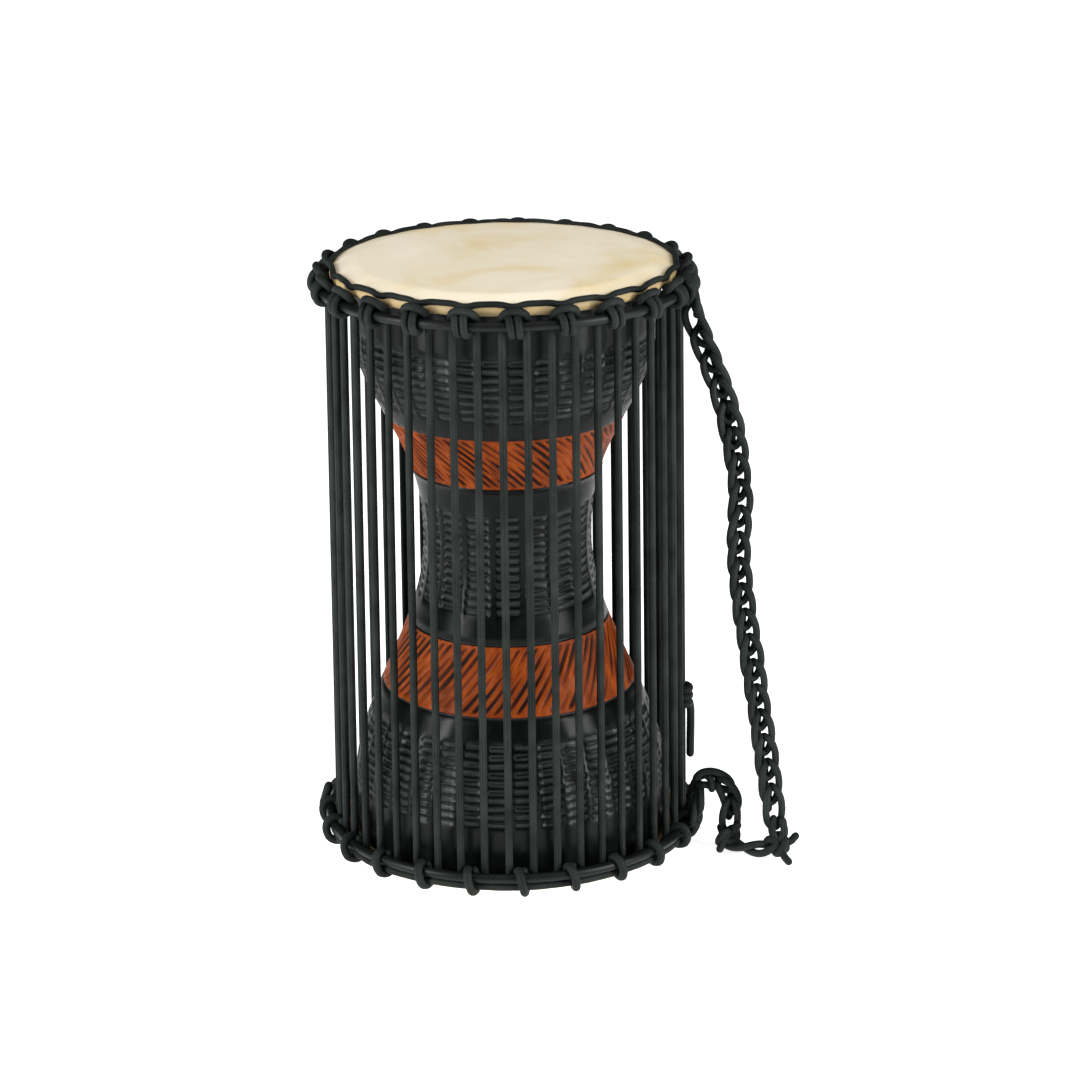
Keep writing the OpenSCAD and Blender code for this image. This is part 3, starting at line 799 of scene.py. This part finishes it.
# Tie-off of the lacing cord: two turns round an outer run, with its end hanging beside it.
endKnot = {
    "hitch": 5, "height": 96.0, "cord": 5.4, "sides": 12,
    "turn": 5.1,                                        # from the run's middle to the turns' middle
    "top": 6.0, "fall": 0.8, "slant": 1.2,              # the turns' height by angle
    "firstAngle": -1.2, "lastAngle": 4 * math.pi, "points": 40,
    "tailDrops": (10, 18, 26, 34, 42.0),
    "tailAlong": 1.0, "tailLean": 0.04, "tailOut": 5.6, "tailWave": 0.2, "waveLength": 9,
}
endTurn = hitchTurn(endKnot["hitch"]) + runSpread


def besideRun(turn, height, along, out):
    share = (height - bottomRing["height"]) / (topRing["height"] - bottomRing["height"])
    radius = bottomRun + (topRun - bottomRun) * share
    return atRing(radius, height, turn, along, out, 0)


tieLine = []
for a in np.linspace(endKnot["firstAngle"], endKnot["lastAngle"], endKnot["points"]):
    up = endKnot["top"] - endKnot["fall"] * a + endKnot["slant"] * math.sin(a)
    along, out = endKnot["turn"] * math.sin(a), endKnot["turn"] * math.cos(a)
    tieLine.append(besideRun(endTurn, endKnot["height"] + up, along, out))
for drop in endKnot["tailDrops"]:
    along = endKnot["tailAlong"] + endKnot["tailLean"] * drop
    out = endKnot["tailOut"] + endKnot["tailWave"] * math.sin(drop / endKnot["waveLength"])
    tieLine.append(besideRun(endTurn, endKnot["height"] - drop, along, out))
tieOff = sweptCords("lacingTieOff", [smoothLine(tieLine, 4)], endKnot["cord"], endKnot["sides"], cordBlack)
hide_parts("lacing_end_knot")
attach(tieOff, "lower_sector_03")

# Start of the cord: a hook under the lower ring, with a stub beside a hitch.
startHook = {
    "hitch": 17, "along": -6.4, "reach": 5.9, "cord": 5.8, "sides": 12,
    "angles": range(-130, 1, 13),
    "stubSteps": 3, "stubAlong": 0.5, "stubIn": 1.3, "stubUp": 4.4,     # the stub leans back to its hitch
}
tuckPlaces = []
for angle in startHook["angles"]:
    out, up = (startHook["reach"] * part(math.radians(angle)) for part in (math.cos, math.sin))
    tuckPlaces.append((startHook["along"], out, up))
for k in range(1, startHook["stubSteps"] + 1):
    along = startHook["along"] + startHook["stubAlong"] * k
    tuckPlaces.append((along, startHook["reach"] - startHook["stubIn"] * k, startHook["stubUp"] * k))
tuck = [atRing(bottomRing["radius"], bottomRing["height"], hitchTurn(startHook["hitch"]), *place)
        for place in tuckPlaces]
startTuck = sweptCords("lacingStart", [smoothLine(tuck, 3)], startHook["cord"], startHook["sides"], cordBlack)
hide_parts("lacing_start_tuck")
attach(startTuck, "bottom_rim")


# Shell: turned outline with carved rows of chips and two bands of slanting gouge cuts.
shell = {
    "height": 396.0, "skin": 0.8, "wall": 7.0, "bearing": 3.0,
    "start": 5.0,           # height of the outside wall's lowest row
    "topMouth": 195.0, "bottomMouth": 208.0, "waist": 111.0, "waistHeight": 208.0,
    "topFlare": 137.0, "bottomFlare": 168.0, "upperPower": 1.35, "lowerPower": 1.05,
    "columns": 360, "insideRows": 22,
    "plainStep": 3.6, "gougeStep": 1.35, "thinRows": 4,     # rows of the mesh in each kind of zone
    "lineDepth": 0.9, "beadHeight": 1.0,
    # Chips: deepest near their upper ends, with widths in shares of their spacing.
    "chipDepth": 1.9, "chipRows": 5, "chipScoop": (0.0, 0.4, 0.75, 1.0, 0.5),
    "chipHalf": 0.41, "chipHalfVary": 0.05, "chipSlope": 0.07,
    "chipShift": 1.1, "chipTilt": 0.9, "shiftFade": 0.15,
    # Gouges: slanting grooves, each of several bites.
    "gougeDepth": 1.9, "gougeColumns": 5, "gougeScoop": (0.0, 0.45, 0.95, 1.0, 0.4),
    "biteStart": 0.9, "biteRound": 0.7, "biteFloor": 0.2, "gougeFade": 14,
    "seed": 11, "luckRows": 60, "luckColumns": 90,
}
# From the floor up: what each zone is, its top, and how it is cut.
zones = [
    {"kind": "plain", "top": 41.0},
    {"kind": "chips", "top": 95.0, "rows": 10, "across": 36},
    {"kind": "plain", "top": 109.0},
    {"kind": "line", "top": 111.0},
    {"kind": "gouges", "top": 153.0, "lean": -24, "long": 46.0},
    {"kind": "line", "top": 155.0},
    {"kind": "plain", "top": 171.0},
    {"kind": "chips", "top": 239.0, "rows": 12, "across": 18},
    {"kind": "plain", "top": 256.0},
    {"kind": "bead", "top": 258.5},
    {"kind": "gouges", "top": 296.0, "lean": 34, "long": 30.0},
    {"kind": "plain", "top": 309.0},
    {"kind": "chips", "top": 354.0, "rows": 8, "across": 36},
    {"kind": "plain", "top": 391.0},
]


def flare(share, power):
    s = min(1.0, max(0.0, share)) ** power
    return s * s * (3 - 2 * s)


def shellRadius(z):
    w = shell["waist"] / 2
    above = z - shell["waistHeight"]
    if above > 0:
        return w + (shell["topMouth"] / 2 - w) * flare(above / shell["topFlare"], shell["upperPower"])
    return w + (shell["bottomMouth"] / 2 - w) * flare(-above / shell["bottomFlare"], shell["lowerPower"])


def rowCount(zone, tall):
    if zone["kind"] == "plain":
        return max(3, round(tall / shell["plainStep"]))
    if zone["kind"] == "gouges":
        return round(tall / shell["gougeStep"])
    if zone["kind"] == "chips":
        return zone["rows"] * shell["chipRows"]
    return shell["thinRows"]


# Rows of the outside wall: height, zone, place in the zone and the turn that slants the gouges.
def shellRows():
    rows, low, turn = [], shell["start"], 0
    for zone in zones:
        high = zone["top"]
        count = rowCount(zone, high - low)
        for k in range(count):
            share = k / count
            rows.append((low + (high - low) * share, zone, share, turn - zone.get("lean", 0) * share))
        turn -= zone.get("lean", 0)
        low = high
    rows.append((low, zones[-1], 1.0, turn))
    return rows


# What each cut of a zone draws for itself.
def drawLuck(rng):
    size = (shell["luckRows"], shell["luckColumns"])
    return {"depth": rng.uniform(0.55, 1.1, size), "shift": rng.uniform(-0.5, 0.5, size),
            "tilt": rng.uniform(-1, 1, size), "phase": rng.uniform(0, 1, size[1])}


# Depth of the chips along one row, and how far each point moves up.
def chipRow(zone, share, angle, luck):
    across = zone["across"]
    u = angle / 360 * across
    which = np.floor(u).astype(int) % across
    x = (u % 1) - 0.5
    row = share * zone["rows"]
    index = int(row + 1e-6)
    wide = shell["chipHalf"] + shell["chipHalfVary"] * luck["shift"][index, which]
    inside = np.clip((wide - np.abs(x)) / shell["chipSlope"], 0, 1)
    inside = inside * inside * (3 - 2 * inside)
    scoop = shell["chipScoop"][int((row - index) * shell["chipRows"] + 0.5) % shell["chipRows"]]
    depth = shell["chipDepth"] * scoop * inside * luck["depth"][index, which]
    ends = math.sin(math.pi * share) ** shell["shiftFade"] if share > 0 else 0
    shift = shell["chipShift"] * (luck["phase"][which] - 0.5)
    return depth, (shift + shell["chipTilt"] * luck["tilt"][index, which] * x) * ends


# Depth of the gouges along one row.
def gougeRow(zone, z, share, column, luck):
    groove = (column // shell["gougeColumns"]) % shell["luckColumns"]
    profile = np.array(shell["gougeScoop"])[column % shell["gougeColumns"]]
    bites = (zone["top"] - z) / zone["long"] + luck["phase"][groove] * shell["biteStart"]
    step = np.floor(bites).astype(int) % shell["luckRows"]
    bite = np.clip(np.sin(math.pi * (bites % 1)), 0, 1) ** shell["biteRound"]
    bite = shell["biteFloor"] + (1 - shell["biteFloor"]) * bite
    edge = min(1.0, min(share, 1 - share) * shell["gougeFade"])
    return shell["gougeDepth"] * profile * bite * luck["depth"][step, groove] * edge


# One ring of points round the shell.
def shellRing(radius, angle, height):
    a = np.radians(angle)
    return np.column_stack([radius * np.cos(a), radius * np.sin(a), height])


def carveShell():
    rng = np.random.default_rng(shell["seed"])
    n = shell["columns"]
    column = np.arange(n)
    points, cuts, slots = [], [], []
    chance = {id(zone): drawLuck(rng) for zone in zones}
    rows = shellRows()
    for z, zone, share, turn in rows:
        angle = column * 360 / n + turn
        height = np.full(n, z)
        depth = np.zeros(n)
        if zone["kind"] == "chips":
            depth, rise = chipRow(zone, share, angle, chance[id(zone)])
            height = height + rise
        elif zone["kind"] == "gouges":
            depth = gougeRow(zone, z, share, column, chance[id(zone)])
        elif zone["kind"] == "line":
            depth = np.full(n, shell["lineDepth"] * math.sin(math.pi * share))
        elif zone["kind"] == "bead":
            depth = np.full(n, -shell["beadHeight"] * math.sin(math.pi * share))
        radius = np.array([shellRadius(h) for h in height]) - depth
        points.append(shellRing(radius, angle, height))
        cuts.append(np.clip(depth / shell["chipDepth"], 0, 1))
        slots.append(1 if zone["kind"] == "gouges" else 0)
    # over the upper bearing edge, down the inside and back over the lower one
    wall, bearing, skin, high = shell["wall"], shell["bearing"], shell["skin"], shell["height"]
    lastTurn = rows[-1][3]
    topR, lowR = shellRadius(high), shellRadius(0)
    edge = [(-0.3, 3.4), (-1.3, 2.0), (bearing - wall, skin), (-wall, skin)]  # in from the outside, and deep
    rim = [(topR + inward, high - deep) for inward, deep in edge]
    rim += [(shellRadius(z) - wall, z) for z in np.linspace(high - 6, 6, shell["insideRows"])]
    rim += [(lowR + inward, deep) for inward, deep in edge[::-1]]
    for k, (radius, z) in enumerate(rim):
        points.append(shellRing(radius, column * 360 / n + lastTurn, np.full(n, z)))
        cuts.append(np.zeros(n))
        slots.append(2 if 2 <= k < len(rim) - 3 else 0)     # raw wood inside the bearing edges
    total = len(points)
    points = np.vstack(points) * mm
    faces, faceSlots = [], []
    shiftBack = round(lastTurn * n / 360)  # the last row joins the first one round the inside
    for r in range(total):
        s = (r + 1) % total
        offset = shiftBack if s == 0 else 0
        for c in range(n):
            d = (c + 1) % n
            cs, ds = (c + offset) % n, (d + offset) % n
            faces.append((r * n + c, r * n + d, s * n + ds, s * n + cs))
            faceSlots.append(slots[r])
    piece = meshPiece("carvedShell", points, faces, [blackWood, orangeWood, innerWood], faceSlots)
    attribute = piece.data.attributes.new("cut", "FLOAT", "POINT")
    attribute.data.foreach_set("value", np.concatenate(cuts).astype(np.float32))
    return piece


carvedShell = carveShell()
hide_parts("drum_shell")
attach(carvedShell, "shell")
print("shell carved,", len(carvedShell.data.polygons) * 2, "triangles")


# Heads: goatskin over the bearing edge, rolled round a cane hoop.
heads = {
    "columns": 184, "skin": 0.8, "seed": 4,
    "roll": 4.0,            # the hoop with the skin round it, as a radius
    "drop": 6.8,            # from the head down to the hoop's middle
    "rolledUnder": 14,      # of the flat skin, past the hoop's middle
    "give": 5.0,            # in from the head's face, where the skin stops staying with the shell
    "slope": (0.0, 0.12, 0.25, 0.4, 0.55, 0.7, 0.85), "slopePower": 1.25,
    "waves": (3, 5, 8, 13, 21), "waveSize": 0.3, "puckerSize": 0.35,
}


def skinPiece(name, node, upper, mouth):
    low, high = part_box(node)
    hoopRadius = high.x / mm - heads["roll"]
    flat = mouth / 2 - shell["wall"] + shell["bearing"]
    t, roll, drop = heads["skin"], heads["roll"], heads["drop"]
    span = hoopRadius - 0.5 - flat

    def sloping(shares, below):
        return [(flat + span * s, -(drop - roll) * s ** heads["slopePower"] - below) for s in shares]

    def rolled(radius, degrees):
        return [(hoopRadius + radius * math.sin(a), -drop + radius * math.cos(a))
                for a in np.radians(degrees)]

    outer = [(r, 0.0) for r in np.linspace(0, flat - 1.5, 26)[1:]]
    outer += sloping(heads["slope"], 0) + rolled(roll, range(0, 226, 15))
    inner = rolled(roll - t, range(225, -1, -25)) + sloping(heads["slope"][::-2], t)
    inner += [(r, -t) for r in np.linspace(flat - 1.5, 0, 8)[:-1]]
    profile = outer + inner
    rng = np.random.default_rng(heads["seed"])
    n = heads["columns"]
    angles = np.arange(n) / n * 2 * math.pi
    waves = sum(rng.uniform(0.4, 1) / k * np.sin(k * angles + rng.uniform(0, 6.3)) for k in heads["waves"])
    waves = waves * heads["waveSize"]
    pucker = -heads["puckerSize"] * np.cos(lacing["hitches"] * (angles - math.radians(lacing["firstTurn"])))
    side = 1 if upper else -1
    base = shell["height"] if upper else 0
    points = [(0, 0, base * mm)]
    for r, z in profile:
        soft = np.clip((r - flat) / (hoopRadius - flat), 0, 1)
        rr = r + soft * (0.4 * waves + 0.2 * pucker)
        zz = np.minimum(0, z + soft * (0.5 * waves + 0.5 * pucker) - 0.25 * soft)
        for a, x, y in zip(angles, rr, zz):
            points.append((x * math.cos(a) * mm, x * math.sin(a) * mm, (base + side * y) * mm))
    points.append((0, 0, (base - side * t) * mm))
    faces = [(0, 1 + c, 1 + (c + 1) % n) for c in range(n)]
    rings = len(profile)
    for k in range(rings - 1):
        for c in range(n):
            d = (c + 1) % n
            a, b = 1 + k * n, 1 + (k + 1) * n
            faces.append((a + c, b + c, b + d, a + d))
    last, tail = 1 + (rings - 1) * n, len(points) - 1
    faces += [(last + c, tail, last + (c + 1) % n) for c in range(n)]
    if not upper:
        faces = [f[::-1] for f in faces]
    piece = meshPiece(name, points, faces, [headSkin])
    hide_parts(node)
    return piece, hoopRadius


topSkin, topHoop = skinPiece("topSkin", "top_skin", True, shell["topMouth"])
bottomSkin, bottomHoop = skinPiece("bottomSkin", "bottom_skin", False, shell["bottomMouth"])
for piece, body, edge, inward in ((topSkin, "top_rim", shell["height"], -1),
                                  (bottomSkin, "bottom_rim", 0.0, 1)):
    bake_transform(piece)
for node in ("top_flesh_hoop", "bottom_flesh_hoop"):
    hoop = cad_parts[node]
    hoop.data.materials.clear()
    hoop.data.materials.append(caneBrown)
print("heads made")


# Floor and light.
studio = {
    "glow": 0.86, "world": 0.12,
    "floorHalf": 12, "floorDrop": -0.0005, "toneSize": 1 / 3,
    "sideBox": {"place": (1.5, -0.9, 0.75), "aim": (0, 0, 0.2), "size": (0.5, 1.5), "power": 44},
    "topBox": {"place": (0, -0.2, 1.9), "aim": (0, 0, 0.3), "size": (1.4, 1.0), "power": 8},
}


def makeFloor():
    material, tree, surface = newMaterial("paleFloor")
    place = addNode(tree, "ShaderNodeTexCoord").outputs["Object"]
    tone = addNode(tree, "ShaderNodeTexNoise", {
        "Vector": place, "Scale": 1 / studio["toneSize"]}).outputs["Fac"]
    tree.links.new(colourRamp(tree, tone, [(0.0, "#fdfdfd"), (1.0, "#ffffff")]), surface.inputs["Base Color"])
    surface.inputs["Roughness"].default_value = 0.9
    surface.inputs["Specular IOR Level"].default_value = 0.0
    surface.inputs["Emission Color"].default_value = (1, 1, 1, 1)
    surface.inputs["Emission Strength"].default_value = studio["glow"]
    half = studio["floorHalf"]
    floor = meshPiece("studioFloor", [(-half, -half, 0), (half, -half, 0), (half, half, 0), (-half, half, 0)],
                      [(0, 1, 2, 3)], [material], smooth=False)
    floor.location.z = studio["floorDrop"]


def softBox(name, box, side=1):
    data = bpy.data.lights.new(name, "AREA")
    data.shape = "RECTANGLE"
    data.size, data.size_y = box["size"]
    data.energy = box["power"]
    x, y, z = box["place"]
    light = bpy.data.objects.new(name, data)
    light.location = (x * side, y, z)
    light.rotation_euler = (Vector(box["aim"]) - light.location).to_track_quat("-Z", "Y").to_euler()
    bpy.context.scene.collection.objects.link(light)


makeFloor()
softBox("leftSoftBox", studio["sideBox"], -1)
softBox("rightSoftBox", studio["sideBox"])
softBox("topSoftBox", studio["topBox"])
world = bpy.data.worlds.new("studioWorld")
world.use_nodes = True
background = world.node_tree.nodes["Background"]
background.inputs["Color"].default_value = (1, 1, 1, 1)
background.inputs["Strength"].default_value = studio["world"]
bpy.context.scene.world = world
bpy.context.scene.view_settings.view_transform = "Standard"
print("studio lit")
